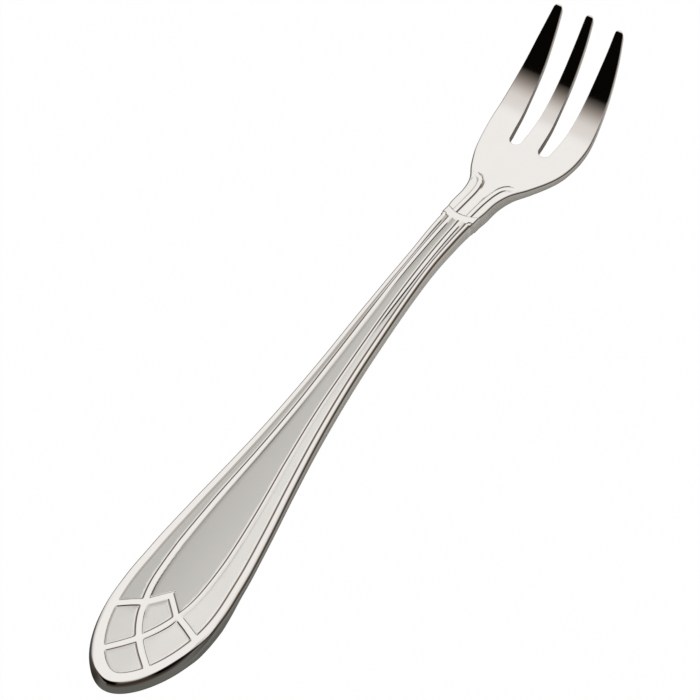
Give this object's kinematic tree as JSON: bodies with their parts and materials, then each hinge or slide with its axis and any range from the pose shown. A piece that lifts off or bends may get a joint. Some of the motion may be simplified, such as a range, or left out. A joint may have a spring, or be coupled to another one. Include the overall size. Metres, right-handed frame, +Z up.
{
  "type": "oyster fork",
  "caption": "Small oyster fork with slim curved tines, a narrow collared neck and an arched handle with a raised border and interlaced ribs.",
  "frame": {"origin": "on the plane that the fork rests on, below the middle of its length, on its middle plane", "axes": "+Y along the fork towards the tips of the tines, +X across it to the right of someone looking along +Y from above, +Z up from the table to the decorated upper face"},
  "size_m": [0.0188, 0.146, 0.0132],
  "materials": {
    "polished_steel": "mirror-polished stainless steel",
    "satin_steel": "fine matt, blasted stainless steel"
  },
  "bodies": {
    "root": {"handle_blade": "satin_steel", "handle_border": "polished_steel", "rib_crossing": "polished_steel", "rib_left": "polished_steel", "rib_right": "polished_steel", "bar_left": "polished_steel", "bar_right": "polished_steel", "chevron": "polished_steel", "collar": "polished_steel", "neck": "polished_steel", "neck_rib_left": "polished_steel", "neck_rib_right": "polished_steel", "palm": "polished_steel", "tine_left": "polished_steel", "tine_middle": "polished_steel", "tine_right": "polished_steel"}
  },
  "joints": []
}
